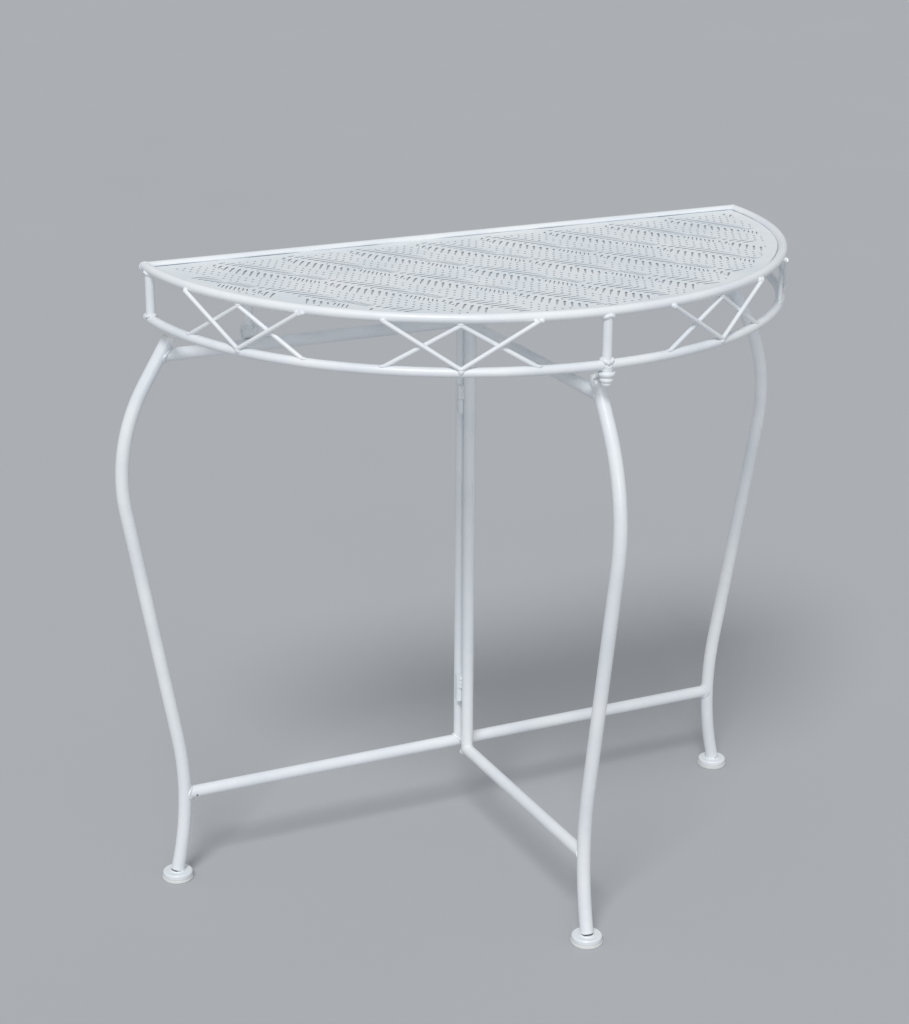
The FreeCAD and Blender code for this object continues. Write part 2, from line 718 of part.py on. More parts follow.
# Knob under the hoop at the front, turned as a bulb, a wide dish with a lip, a ring and a button. Each
# corner is a share of the knob's radius and of its height below the middle of the hoop.
knob_profile_shares = (
    (0.56, 0.06), (0.7, 0.14), (0.71, 0.22), (0.59, 0.32), (0.9, 0.3), (1.0, 0.34), (1.0, 0.43),
    (0.88, 0.5), (0.73, 0.56), (0.73, 0.59), (0.79, 0.62), (0.79, 0.71), (0.69, 0.76), (0.56, 0.78),
    (0.6, 0.81), (0.6, 0.88), (0.44, 0.96), (0.23, 1.0))
knob_radius = dim.knob_diameter / 2
knob_corners = [
    (knob_radius * across, -dim.knob_height * down) for across, down in knob_profile_shares]
finial_blank = turned(
    "finial_blank",
    [(zero, zero), (knob_corners[0][0], zero)] + knob_corners + [(zero, -dim.knob_height)],
    on_circle(radius, -dim.front_angle, hoop_height))
finial = cut("finial", finial_blank, hoop_skin)

# Catch: a flat hook on the upper end of the front leg. It lies behind and to the left of the knob, so
# the gate is free to swing left and the top is free to lift.
knob_x, knob_y, knob_z = on_circle(radius, -dim.front_angle, hoop_height)
catch_inner = knob_radius + dim.catch_clearance
catch_outer = catch_inner + dim.catch_nose
catch_root = front_plane - gate_end_reach
catch_body = body_named("catch_plate", (zero, zero, leg_end_height + dim.catch_rise))
catch_sketch = plane_sketch(catch_body, "XY_Plane", "catch_outline")
half_catch = dim.catch_width / 2
knob = FreeCAD.Vector(knob_x.value, knob_y.value, 0)
inner_ring = Part.Circle(knob, Z_AXIS, catch_inner.value)
outer_ring = Part.Circle(knob, Z_AXIS, catch_outer.value)
inner = Part.ArcOfCircle(inner_ring, math.pi / 2, math.pi)
outer = Part.ArcOfCircle(outer_ring, math.pi / 2, math.pi)
back_left = FreeCAD.Vector(-half_catch.value, catch_root.value, 0)
back_right = FreeCAD.Vector(half_catch.value, catch_root.value, 0)
front_right = FreeCAD.Vector(half_catch.value, inner.StartPoint.y, 0)
for edge in (
        Part.LineSegment(back_left, back_right),
        Part.LineSegment(back_right, front_right),
        Part.LineSegment(front_right, inner.StartPoint),
        inner,
        Part.LineSegment(inner.EndPoint, outer.EndPoint),
        outer,
        Part.LineSegment(outer.StartPoint, back_left)):
    catch_sketch.addGeometry(edge, False)
for ends in (
        (0, 2, 1, 1), (1, 2, 2, 1), (2, 2, 3, 1), (3, 2, 4, 1), (4, 2, 5, 2), (5, 1, 6, 1), (6, 2, 0, 1)):
    catch_sketch.addConstraint(Sketcher.Constraint("Coincident", *ends))
fix(catch_sketch, 0, 1, -half_catch, catch_root)
fix(catch_sketch, 0, 2, half_catch, catch_root)
catch_sketch.addConstraint(Sketcher.Constraint("Vertical", 1))
catch_sketch.addConstraint(Sketcher.Constraint("Horizontal", 2))
catch_sketch.addConstraint(Sketcher.Constraint("Horizontal", 4))
catch_sketch.addConstraint(Sketcher.Constraint("Coincident", 3, 3, 5, 3))
fix(catch_sketch, 3, 3, knob_x, knob_y)
fix_value(catch_sketch, "Radius", 3, catch_inner)
fix_value(catch_sketch, "Radius", 5, catch_outer)
catch_sketch.addConstraint(Sketcher.Constraint("Vertical", 3, 1, 3, 3))
catch_sketch.addConstraint(Sketcher.Constraint("Horizontal", 3, 2, 3, 3))
catch_sketch.addConstraint(Sketcher.Constraint("Vertical", 5, 1, 5, 3))
catch_pad = catch_body.newObject("PartDesign::Pad", "catch_pad")
catch_pad.Profile = catch_sketch
catch_pad.setExpression("Length", dim.catch_thickness.text)
seat_depth = dim.leg_diameter
catch_seat = cylinder(
    "catch_seat", leg_radius, seat_depth * 2,
    (zero, catch_root - seat_depth * sine(dim.leg_lean), leg_end_height - seat_depth * cosine(dim.leg_lean)),
    TO_FRONT.multiply(lean_in))
catch_hook = cut("catch_hook", catch_body, catch_seat)


# Bent rods of the apron. Each group has an outer rod like a V, whose ends lie on the outside of the rim
# and whose bend lies on the outside of the hoop, and an inner rod like an upturned V between them.
def bent_rod(name, angle, half_angle, distance, bend_height, end_distance, end_height):
    rise = end_height - bend_height
    setback = distance - end_distance * cosine(half_angle)
    reach = end_distance * sine(half_angle)
    slant = root(rise * rise + setback * setback)
    tilt = -math.degrees(math.atan2(setback.value, rise.value))
    turn = FreeCAD.Rotation(Z_AXIS, angle.value).multiply(FreeCAD.Rotation(X_AXIS, tilt))
    body = body_named(name, on_circle(distance, angle, bend_height), turn)
    path = plane_sketch(body, "XZ_Plane", name + "_path")
    middle = FreeCAD.Vector(0, dim.rod_bend.value, 0)
    to_end = FreeCAD.Vector(reach.value, slant.value - dim.rod_bend.value, 0)
    opening = math.atan2(to_end.y, to_end.x) - math.acos(dim.rod_bend.value / to_end.Length)
    circle = Part.Circle(middle, Z_AXIS, dim.rod_bend.value)
    bend = Part.ArcOfCircle(circle, -math.pi - opening, opening)
    right = FreeCAD.Vector(reach.value, slant.value, 0)
    left = FreeCAD.Vector(-reach.value, slant.value, 0)
    path.addGeometry(Part.LineSegment(left, bend.StartPoint), False)
    path.addGeometry(bend, False)
    path.addGeometry(Part.LineSegment(bend.EndPoint, right), False)
    path.addConstraint(Sketcher.Constraint("Tangent", 0, 2, 1, 1))
    path.addConstraint(Sketcher.Constraint("Tangent", 1, 2, 2, 1))
    fix(path, 1, 3, zero, dim.rod_bend)
    fix_value(path, "Radius", 1, dim.rod_bend)
    fix(path, 0, 1, -reach, slant)
    fix(path, 2, 2, reach, slant)
    doc.recompute()
    return piped(body, path, "Edge1", 0.0, (rod_radius,))


outer_low = radius + dim.outer_bend_offset
outer_high = radius + dim.outer_rod_offset
outer_bend = hoop_height + dim.outer_bend_rise
outer_end = rim_height - dim.outer_rod_drop
inner_distance = radius + dim.inner_rod_offset
inner_bend = rim_height - bar_radius - rod_radius + dim.inner_rod_seat
inner_end = hoop_height + bar_radius / 2


def lattice(name, angle):
    outer_rod = bent_rod(
        name + "_outer_bar", angle, dim.outer_half_angle, outer_low, outer_bend, outer_high, outer_end)
    inner_rod = bent_rod(
        name + "_inner_bar", angle, dim.inner_half_angle, inner_distance, inner_bend, inner_distance,
        inner_end)
    return group(
        name,
        cut(name + "_outer_rod", outer_rod, rim_skin, hoop_skin),
        cut(name + "_inner_rod", inner_rod, rim_skin, hoop_skin))


left_side_lattice = lattice("left_side_lattice", -dim.left_side_angle)
left_front_lattice = lattice("left_front_lattice", -dim.left_front_angle)
right_front_lattice = lattice("right_front_lattice", dim.right_front_angle)
right_side_lattice = lattice("right_side_lattice", dim.right_side_angle)

# Perforated sheet: a half disc inside the rim with leaf figures in rows and columns. Each figure is a
# slanting midrib with a comb of tapered slots on both sides, short at its ends and long in the middle.
slot_length_shares = (0.36, 0.56, 0.76, 0.9, 1.0, 1.0, 1.0, 0.96, 0.88, 0.76, 0.6, 0.4)
slot_start_share = 0.06
sheet_radius = (dim.top_radius - bar_radius).value
sheet_rear = -bar_radius.value
border = dim.sheet_border.value
end_x = math.sqrt(sheet_radius ** 2 - sheet_rear ** 2)
midrib_way = FreeCAD.Vector(dim.midrib_run.value, -dim.midrib_drop.value, 0).normalize()
midrib_side = FreeCAD.Vector(-midrib_way.y, midrib_way.x, 0)


def slot(row, column, number, mirrored):
    """The four corners of one slot, from the middle of the top."""
    share = (number + 0.5) / len(slot_length_shares)
    start = FreeCAD.Vector(
        dim.leaf_shift.value + column * dim.cell_width.value + share * dim.midrib_run.value,
        sheet_rear - dim.leaf_setback.value - row * dim.cell_depth.value
        - share * dim.midrib_drop.value,
        0)
    fan = dim.slot_last_angle.value - dim.slot_first_angle.value
    angle = math.radians(dim.slot_first_angle.value + share * fan)
    along = FreeCAD.Vector(-math.cos(angle), -math.sin(angle), 0)
    if mirrored:
        start = start + midrib_side * dim.midrib_width.value
        along = along - midrib_side * (2 * along.dot(midrib_side))
    across = FreeCAD.Vector(-along.y, along.x, 0)
    length = dim.slot_length.value * slot_length_shares[number]
    near = start + along * (dim.slot_length.value * slot_start_share)
    far = near + along * length
    inner_half = across * (dim.slot_inner_width.value / 2)
    outer_half = across * (dim.slot_outer_width.value / 2)
    return [near + inner_half, far + outer_half, far - outer_half, near - inner_half]


def on_sheet(corners):
    inside = [corner.Length < sheet_radius - border for corner in corners]
    before = [corner.y < sheet_rear - border for corner in corners]
    return all(inside) and all(before)


left_point = FreeCAD.Vector(-end_x, sheet_rear, 0)
right_point = FreeCAD.Vector(end_x, sheet_rear, 0)
front_point = FreeCAD.Vector(0, -sheet_radius, 0)
edge_wire = Part.Wire([
    Part.Arc(left_point, front_point, right_point).toShape(),
    Part.LineSegment(right_point, left_point).toShape(),
])
slots = []
columns = math.ceil(dim.top_radius.value / dim.cell_width.value) + 1
rows = math.ceil(dim.top_radius.value / dim.cell_depth.value)
for row in range(rows):
    for column in range(-columns, columns):
        for number in range(len(slot_length_shares)):
            for mirrored in (False, True):
                corners = slot(row, column, number, mirrored)
                if on_sheet(corners):
                    slots.append(Part.makePolygon(corners + corners[:1]))
flat = Part.makeFace([edge_wire] + slots, "Part::FaceMakerBullseye")
perforated_panel = doc.addObject("Part::Feature", "perforated_panel")
perforated_panel.Shape = flat.extrude(FreeCAD.Vector(0, 0, dim.sheet_thickness.value))
place(perforated_panel, (zero, top_centre, sheet_underside))

nodes = [
    left_leg, right_leg, back_upper_rail, back_lower_rail, back_post,
    feet["left"][0], feet["left"][1], feet["right"][0], feet["right"][1],
    back_leg_caps, frame_gate_knuckles, gate_hinge_pins, rail_knuckles, top_hinge_pins,
    front_leg, front_post, front_upper_rail, front_lower_rail,
    feet["front"][0], feet["front"][1], front_leg_cap, gate_knuckles, catch_hook,
    rim_arc, rim_rear_tube, perforated_panel, apron_hoop,
    left_corner_upright, right_corner_upright, front_upright, finial,
    left_side_lattice, left_front_lattice, right_front_lattice, right_side_lattice,
    drop_posts[0], drop_posts[1], top_knuckles,
]

doc.recompute()
for piece in doc.Objects:
    if "Invalid" in piece.State or "Error" in piece.State:
        raise RuntimeError("%s did not build: %s" % (piece.Label, piece.State))
for piece in nodes:
    if piece.Shape.isNull() or not piece.Shape.isValid() or not piece.Shape.Solids:
        raise RuntimeError("%s has no valid solid" % piece.Label)

os.makedirs("parts", exist_ok=True)
for piece in nodes:
    piece.Shape.exportStep("parts/%s.step" % piece.Label)
print("%d nodes, %d solids, %d slots" % (len(nodes), sum(len(p.Shape.Solids) for p in nodes), len(slots)))
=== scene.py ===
import math
import bmesh
import bpy
from mathutils import Matrix, Vector, noise


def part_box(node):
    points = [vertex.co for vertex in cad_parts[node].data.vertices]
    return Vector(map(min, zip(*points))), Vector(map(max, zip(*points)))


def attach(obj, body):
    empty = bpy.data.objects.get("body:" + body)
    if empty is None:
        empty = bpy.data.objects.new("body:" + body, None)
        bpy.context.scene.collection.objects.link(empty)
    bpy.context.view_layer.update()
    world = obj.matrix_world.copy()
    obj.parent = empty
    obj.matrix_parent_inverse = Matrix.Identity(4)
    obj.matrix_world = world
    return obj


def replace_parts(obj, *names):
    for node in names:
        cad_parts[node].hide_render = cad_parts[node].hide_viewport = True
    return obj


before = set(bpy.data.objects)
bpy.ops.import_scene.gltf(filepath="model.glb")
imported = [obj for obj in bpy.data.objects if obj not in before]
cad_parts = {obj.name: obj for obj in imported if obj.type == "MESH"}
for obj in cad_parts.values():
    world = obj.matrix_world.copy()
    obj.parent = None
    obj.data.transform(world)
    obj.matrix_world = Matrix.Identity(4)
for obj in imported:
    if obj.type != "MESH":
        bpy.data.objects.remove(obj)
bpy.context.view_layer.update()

# Camera. It stands in front of the table, to the left and higher than the top, and looks down across
# it, so the front leg stands right of the middle and the straight rear edge runs away to the right.
camera_data = bpy.data.cameras.new("camera")
camera_data.sensor_width = 36.0
camera_data.lens = 80.56
camera_data.clip_end = 200.0
camera = bpy.data.objects.new("camera", camera_data)
camera_spot = Vector((-1.1571, -2.2197, 1.3694))
to_right = Vector((0.9037, -0.4282, 0.0061)).normalized()
to_scene = Vector((0.4054, 0.8508, -0.3344)).normalized()
to_top = to_right.cross(to_scene).normalized()
camera.matrix_world = Matrix((
    (to_right.x, to_top.x, -to_scene.x, camera_spot.x),
    (to_right.y, to_top.y, -to_scene.y, camera_spot.y),
    (to_right.z, to_top.z, -to_scene.z, camera_spot.z),
    (0.0, 0.0, 0.0, 1.0),
))
bpy.context.scene.collection.objects.link(camera)
bpy.context.scene.camera = camera
bpy.context.scene.view_settings.view_transform = "Standard"


# Legs. Three steel tubes, rolled to the same double curve. Like all the steel of the table they are
# powder coated in satin white, which leaves a fine orange peel and slow changes of tone and gloss.
class Wire:
    """An output of a material's node, with arithmetic that adds Math nodes."""

    def __init__(self, finish, socket):
        self.finish = finish
        self.socket = socket

    def maths(self, operation, *others):
        """A Math node on this value and others."""
        return self.finish.node("ShaderNodeMath", {"operation": operation}, (self, *others))

    def __add__(self, other):
        return self.maths("ADD", other)

    def __sub__(self, other):
        return self.maths("SUBTRACT", other)

    def __rsub__(self, other):
        return self.finish.node("ShaderNodeMath", {"operation": "SUBTRACT"}, (other, self))

    def __mul__(self, other):
        return self.maths("MULTIPLY", other)

    __radd__ = __add__
    __rmul__ = __mul__


class Finish:
    """One finish of the table: a material built round a Principled shader."""

    def __init__(self, name):
        self.material = bpy.data.materials.new(name)
        self.material.use_nodes = True
        self.shader = self.material.node_tree.nodes["Principled BSDF"]
        self.place = self.node("ShaderNodeTexCoord", output="Object")

    def feed(self, socket, value):
        if isinstance(value, Wire):
            self.material.node_tree.links.new(value.socket, socket)
        else:
            socket.default_value = value

    def node(self, kind, settings=None, values=(), output=0):
        """Adds a node of a type, with its settings and its inputs, by order or by name."""
        made = self.material.node_tree.nodes.new(kind)
        for key, value in (settings or {}).items():
            setattr(made, key, value)
        pairs = values.items() if isinstance(values, dict) else enumerate(values)
        for key, value in pairs:
            self.feed(made.inputs[key], value)
        return Wire(self, made.outputs[output])

    def cloud(self, scale, detail=2.0):
        """A soft noise from 0 to 1 with so many spots to the metre."""
        values = {"Vector": self.place, "Scale": scale, "Detail": detail}
        return self.node("ShaderNodeTexNoise", values=values)

    def distance(self, spot):
        """How far each point of the surface lies from a spot, in metres."""
        settings = {"operation": "DISTANCE"}
        return self.node("ShaderNodeVectorMath", settings, (self.place, spot), output="Value")

    def part_of(self, vector, letter):
        """One of the three numbers of a vector."""
        return self.node("ShaderNodeSeparateXYZ", None, (vector,), output=letter)

    def blend(self, amount, first, second):
        """A colour between two colours, through inputs 6 and 7 and output 2 of the Mix node."""
        settings = {"data_type": "RGBA"}
        return self.node("ShaderNodeMix", settings, {0: amount, 6: first, 7: second}, output=2)

    def relief(self, height, depth, strength):
        """A bumped surface, from a height from 0 to 1 and the depth of its relief in metres."""
        values = {"Strength": strength, "Distance": depth, "Height": height}
        return self.node("ShaderNodeBump", values=values)

    def shade(self, **values):
        for name, value in values.items():
            self.feed(self.shader.inputs[name.replace("_", " ")], value)


def powder_coat(name):
    """The finish of the steel. Its colour stays at hand, for painted shade laid over it."""
    coat = Finish(name)
    dull = (0.75, 0.79, 0.83, 1.0)
    clean = (0.86, 0.885, 0.90, 1.0)
    coat.colour = coat.blend(coat.cloud(14.0, detail=4.0) * 2.2 - 0.6, dull, clean)
    roughness = coat.cloud(45.0, detail=3.0) * 0.25 + 0.24
    peel = coat.cloud(80.0) * 0.75 + coat.cloud(520.0) * 0.25
    peel_depth = 0.0008
    coat.shade(
        Base_Color=coat.colour,
        Roughness=roughness,
        Normal=coat.relief(peel, peel_depth, strength=0.6),
        Coat_Weight=0.2,
        Coat_Roughness=0.22,
    )
    return coat


def dress(finish, *names):
    """Gives nodes of the frame a finish."""
    for name in names:
        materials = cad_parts[name].data.materials
        materials.clear()
        materials.append(finish.material)


paint = powder_coat("white_powder_coat")
dress(paint, "left_leg", "right_leg", "front_leg")

# Plugs and glides. The upper ends of the legs are closed with moulded white plastic plugs, and a
# plastic glide is pressed under each foot disc. The plastic is duller and a little warmer than paint.
plastic = Finish("white_moulded_plastic")
plastic_dark = (0.72, 0.73, 0.72, 1.0)
plastic_light = (0.80, 0.80, 0.79, 1.0)
grain = plastic.cloud(1500.0)
grain_depth = 0.0002
plastic.shade(
    Base_Color=plastic.blend(plastic.cloud(25.0, detail=3.0), plastic_dark, plastic_light),
    Roughness=grain * 0.15 + 0.45,
    Normal=plastic.relief(grain, grain_depth, strength=0.4),
)
dress(plastic, "back_leg_caps", "front_leg_cap")
dress(plastic, "left_foot_glide", "right_foot_glide", "front_foot_glide")

# Foot discs. Flat round pads of steel under the slanting lower ends of the legs. Each leg is welded
# down on its disc, and the two are painted together.
dress(paint, "left_foot_disc", "right_foot_disc", "front_foot_disc")

# Wall frame. Two rails run from leg to leg and a post stands between them. The tube ends are cut to
# the curve of the tube they meet, and a hand-laid weld bead runs round each of these joints. The weep
# hole in the lower rail, near the left leg, is not cut: its dark bore is painted shade on the paint.
rail_radius = 0.0075
post_radius = 0.0074
leg_radius = 0.008
wall_y = 0.190161
wall_rail_z = 0.112
upper_rail_z = 0.665
disc_top = Vector((0.0, 0.0, 0.0103))
upward = Vector((0.0, 0.0, 1.0))
rightward = Vector((1.0, 0.0, 0.0))


def keep(shape, name, body, finish):
    """Makes a finished shape a smooth piece of the table that rides on a body."""
    bmesh.ops.remove_doubles(shape, verts=shape.verts, dist=1e-7)
    bmesh.ops.recalc_face_normals(shape, faces=shape.faces)
    for face in shape.faces:
        face.smooth = True
    mesh = bpy.data.meshes.new(name)
    shape.to_mesh(mesh)
    shape.free()
    mesh.materials.append(finish.material)
    piece = bpy.data.objects.new(name, mesh)
    bpy.context.scene.collection.objects.link(piece)
    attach(piece, body)
    return piece


def tube_way(middle, direction, radius):
    """Gives a function for how far a line goes before it meets the near side of a tube."""
    def way(spot, along):
        across = along - direction * along.dot(direction)
        offset = (spot - middle) - direction * (spot - middle).dot(direction)
        slope = offset.dot(across)
        room = slope ** 2 - across.length_squared * (offset.length_squared - radius ** 2)
        return -(slope + math.sqrt(max(room, 0.0))) / across.length_squared
    return way


def plane_way(middle, normal):
    """Gives a function for how far a line goes before it meets a plane."""
    def way(spot, along):
        return (middle - spot).dot(normal) / along.dot(normal)
    return way


bead_sides = 8
bead_steps = 44
bead_fullness = 0.9
ripples = 19.0
ripple_share = 0.08
lump_share = 0.4
lumps_round = 3.0
lumps_apart = 40.0


def bead_round(shape, spot, along, tube_radius, way, size=0.0022, level=0.0):
    """A rippled weld bead round the end of a tube, where the tube meets what it is welded to."""
    turn = along.to_track_quat("Z", "X").to_matrix()
    upright = Matrix.Translation((tube_radius, 0.0, 0.0)) @ Matrix.Rotation(math.radians(90.0), 4, "X")
    section = bmesh.ops.create_circle(shape, segments=bead_sides, radius=size, matrix=upright)
    section_edges = list({edge for vert in section["verts"] for edge in vert.link_edges})
    bmesh.ops.spin(
        shape, geom=section["verts"] + section_edges, cent=(0.0, 0.0, 0.0), axis=(0.0, 0.0, 1.0),
        angle=math.tau, steps=bead_steps, use_merge=True)
    ring = set(section["verts"])
    grown = list(ring)
    while grown:
        others = {edge.other_vert(vert) for vert in grown for edge in vert.link_edges}
        grown = others - ring
        ring |= others
    for vert in ring:
        angle = math.atan2(vert.co.y, vert.co.x)
        edge_spot = Vector((math.cos(angle), math.sin(angle), 0.0)) * tube_radius
        noise_spot = Vector((math.cos(angle), math.sin(angle), spot.length * lumps_apart))
        lump = noise.noise(noise_spot * lumps_round)
        ripple = bead_fullness + ripple_share * math.sin(angle * ripples) + lump_share * lump
        start = spot + turn @ edge_spot
        reach = way(start, along) * (1.0 - level) + way(spot, along) * level
        vert.co = start + turn @ (vert.co - edge_spot) * ripple + along * reach


blob_swell = 0.22
blob_grain = 420.0


def blob(shape, spot, size, turn=Matrix.Identity(3)):
    """A lump of weld metal, with its three half sizes along its own axes."""
    place = Matrix.Translation(spot) @ turn.to_4x4() @ Matrix.Diagonal((*size, 1.0))
    made = bmesh.ops.create_icosphere(shape, subdivisions=3, radius=1.0, matrix=place)
    for vert in made["verts"]:
        vert.co += (vert.co - spot) * blob_swell * noise.noise(vert.co * blob_grain)


# The middle line of a leg bends round a centre outside the table at its waist, and runs straight
# where the upper rails meet it.
waist_centre = 0.8
waist_radius = 0.43
waist_z = 0.1155
waist_end_z = 0.2
slope_reach = 0.3999
slope_z = 0.6333
leg_lean = math.radians(31.0)


def leg_reach(height):
    """How far the middle line of a leg stands out, at the height of a rail."""
    if height < waist_end_z:
        return waist_centre - math.sqrt(waist_radius ** 2 - (height - waist_z) ** 2)
    return slope_reach - (height - slope_z) * math.tan(leg_lean)


weep_spot = (-0.3565, 0.1830, 0.1095)
weep_radius = 0.0014
weep_bore_painted_shade = (0.1, 0.1, 0.11, 1.0)
# The weep hole is a small dark disc of painted shade on the paint of the lower rail.
hole_shaded_paint = powder_coat("hole_shaded_powder_coat")
in_weep_hole_shade = hole_shaded_paint.distance(weep_spot).maths("LESS_THAN", weep_radius)
hole_shaded_paint.shade(Base_Color=hole_shaded_paint.blend(in_weep_hole_shade, hole_shaded_paint.colour, weep_bore_painted_shade))
dress(paint, "back_upper_rail", "back_post")
dress(hole_shaded_paint, "back_lower_rail")

# A bead lies where its tube ends. Its place is found from a spot on the middle line of the tube,
# short of the joint, by following that line to what the tube is welded to.
rail_start = 0.34
post_start_z = 0.4
ankle_reach = 0.3795
ankle_z = 0.03
foot_out = 0.1736
foot_down = 0.9848
foot_bead = 0.0017
wall_welds = bmesh.new()
for side in (-1.0, 1.0):
    for rail_z, lean in ((wall_rail_z, 0.0), (upper_rail_z, leg_lean)):
        leg_middle = Vector((side * leg_reach(rail_z), wall_y, rail_z))
        leg_line = Vector((-side * math.sin(lean), 0.0, math.cos(lean)))
        bead_round(
            wall_welds, Vector((side * rail_start, wall_y, rail_z)),
            Vector((side, 0.0, 0.0)), rail_radius,
            tube_way(leg_middle, leg_line, leg_radius))
    bead_round(
        wall_welds, Vector((side * ankle_reach, wall_y, ankle_z)),
        Vector((side * foot_out, 0.0, -foot_down)), leg_radius,
        plane_way(disc_top, upward), size=foot_bead)
for rail_z, up in ((wall_rail_z, -1.0), (upper_rail_z, 1.0)):
    bead_round(
        wall_welds, Vector((0.0, wall_y, post_start_z)), Vector((0.0, 0.0, up)), post_radius,
        tube_way(Vector((0.0, wall_y, rail_z)), rightward, rail_radius))
keep(wall_welds, "wall_frame_weld_beads", "back_frame", paint)

# Gate. The front leg, a post and two rails. Post and rails are mitred where they meet, so a slanting
# seam of weld crosses each corner, and the rails are cut to the leg at the front.
gate_y = 0.166961
gate_rail_z = 0.108
gate_rail_start_y = -0.1
front_leg_y = gate_y + 0.057674
gate_rail_bead = 0.0012
mitre_bead = 0.0009
corner_lump = (0.0056, 0.0030, 0.0042)
corner_lump_spot = Vector((-0.0015, gate_y + 0.0064, gate_rail_z - 0.0052))
dress(paint, "front_post", "front_upper_rail", "front_lower_rail")
gate_welds = bmesh.new()
for rail_z, up, lean in ((gate_rail_z, -1.0, 0.0), (upper_rail_z, 1.0, leg_lean)):
    leg_middle = Vector((0.0, front_leg_y - leg_reach(rail_z), rail_z))
    leg_line = Vector((0.0, math.sin(lean), math.cos(lean)))
    bead_round(
        gate_welds, Vector((0.0, gate_rail_start_y, rail_z)), Vector((0.0, -1.0, 0.0)), rail_radius,
        tube_way(leg_middle, leg_line, leg_radius), size=gate_rail_bead)
    bead_round(
        gate_welds, Vector((0.0, gate_y, post_start_z)), Vector((0.0, 0.0, up)), post_radius,
        plane_way(Vector((0.0, gate_y, rail_z)), Vector((0.0, 1.0, -up)).normalized()),
        size=mitre_bead)
blob(gate_welds, corner_lump_spot, corner_lump)
bead_round(
    gate_welds, Vector((0.0, front_leg_y - ankle_reach, ankle_z)),
    Vector((0.0, -foot_out, -foot_down)), leg_radius,
    plane_way(disc_top, upward), size=foot_bead)
keep(gate_welds, "gate_weld_beads", "front_gate", paint)

# Hinges of the gate. Each has two short barrels on one pin: the lower barrel is welded to the post of
# the wall frame and the upper one to the post of the gate, each by a line of weld on both sides.
hinge_line = Vector((-0.005411, 0.178561, 0.0))
wall_barrels = (0.18145, 0.56245)
gate_barrels = (0.19855, 0.57955)
weld_to_post = 0.0050
weld_aside = 0.0034
weld_lifts = (-0.0052, 0.0, 0.0052)
barrel_lump = (0.0021, 0.0019, 0.0031)
dress(paint, "frame_gate_knuckles", "gate_knuckles", "gate_hinge_pins")
for name, body, post_y, barrel_heights in (
        ("wall_knuckle_welds", "back_frame", wall_y, wall_barrels),
        ("gate_knuckle_welds", "front_gate", gate_y, gate_barrels)):
    knuckle_welds = bmesh.new()
    to_post = (Vector((0.0, post_y, 0.0)) - hinge_line).normalized()
    aside = Vector((to_post.y, -to_post.x, 0.0))
    for barrel_height in barrel_heights:
        for side in (-1.0, 1.0):
            spot = hinge_line + to_post * weld_to_post + aside * side * weld_aside
            spot += Vector((0.0, 0.0, barrel_height))
            for lift in weld_lifts:
                blob(knuckle_welds, spot + Vector((0.0, 0.0, lift)), barrel_lump)
    keep(knuckle_welds, name, body, paint)

# Catch. A flat hook on the upper end of the front leg, which holds on to the knob of the top. It is
# cut from plate, and two lumps of weld hold it on the end of the leg.
catch_lump = (0.0020, 0.0034, 0.0017)
catch_weld_aside = 0.0036
catch_weld_y = -0.1502
catch_weld_z = 0.6866
dress(paint, "catch_hook")
catch_welds = bmesh.new()
for side in (-1.0, 1.0):
    blob(catch_welds, Vector((side * catch_weld_aside, catch_weld_y, catch_weld_z)), catch_lump)
keep(catch_welds, "catch_welds", "front_gate", paint)

# Rim. A half-round bar and a straight bar behind it, mitred and welded at both corners, where the
# weld is ground back to a low seam. They frame the sheet of the top, and a grey painted shade lies in
# patches along the inner side of the bars, low down where the sheet meets them.
bar_radius = 0.0055
top_radius = 0.387
top_y = 0.209161
rim_z = 0.7645
seam_shade_radius = 0.3822
seam_shade_rear_y = 0.2046
seam_shade_top_z = rim_z + 0.0012
seam_shade_grey = (0.28, 0.33, 0.40, 1.0)
corner_start = 0.3
corner_bead = 0.0007
# Painted shade: a grey, in patches, on the inner side of the bars just below their top, along the seam
# with the sheet.
seam_shaded_paint = powder_coat("seam_shaded_powder_coat")
seam_shaded_z = seam_shaded_paint.part_of(seam_shaded_paint.place, "Z")
seam_shaded_y = seam_shaded_paint.part_of(seam_shaded_paint.place, "Y")
inside_arc = seam_shaded_paint.distance((0.0, top_y, rim_z)).maths("LESS_THAN", seam_shade_radius)
inner_side = inside_arc * seam_shaded_y.maths("LESS_THAN", seam_shade_rear_y)
lower_side = seam_shaded_z.maths("LESS_THAN", seam_shade_top_z)
seam_shade_patches = seam_shaded_paint.cloud(13.0, detail=3.0) * 5.0 - 1.9
seam_shade_amount = seam_shade_patches.maths("MAXIMUM", 0.0).maths("MINIMUM", 1.0)
seam_shaded_paint.shade(
    Base_Color=seam_shaded_paint.blend(inner_side * lower_side * seam_shade_amount, seam_shaded_paint.colour, seam_shade_grey))
dress(seam_shaded_paint, "rim_arc", "rim_rear_tube")
rim_welds = bmesh.new()
for side in (-1.0, 1.0):
    corner = Vector((side * top_radius, top_y, rim_z))
    bead_round(
        rim_welds, Vector((side * corner_start, top_y, rim_z)), Vector((side, 0.0, 0.0)), bar_radius,
        plane_way(corner, Vector((side, -1.0, 0.0)).normalized()), size=corner_bead)
keep(rim_welds, "rim_corner_welds", "table_top", paint)

# Hoop and uprights. A second half-round bar hangs below the rim on three uprights, one at each end
# and one at the front. Each upright is welded all round to both bars.
hoop_z = 0.7065
upright_radius = 0.0054
upright_start_z = 0.735
side_angle = 88.3
front_angle = -1.0
side_bead = 0.0021
front_bead = 0.0031
bead_level = 0.5
dress(paint, "apron_hoop", "left_corner_upright", "right_corner_upright", "front_upright")


def round_spot(distance, angle, height):
    """A spot at a distance from the middle of the top and at an angle from its front."""
    turn = math.radians(angle)
    return Vector((distance * math.sin(turn), top_y - distance * math.cos(turn), height))


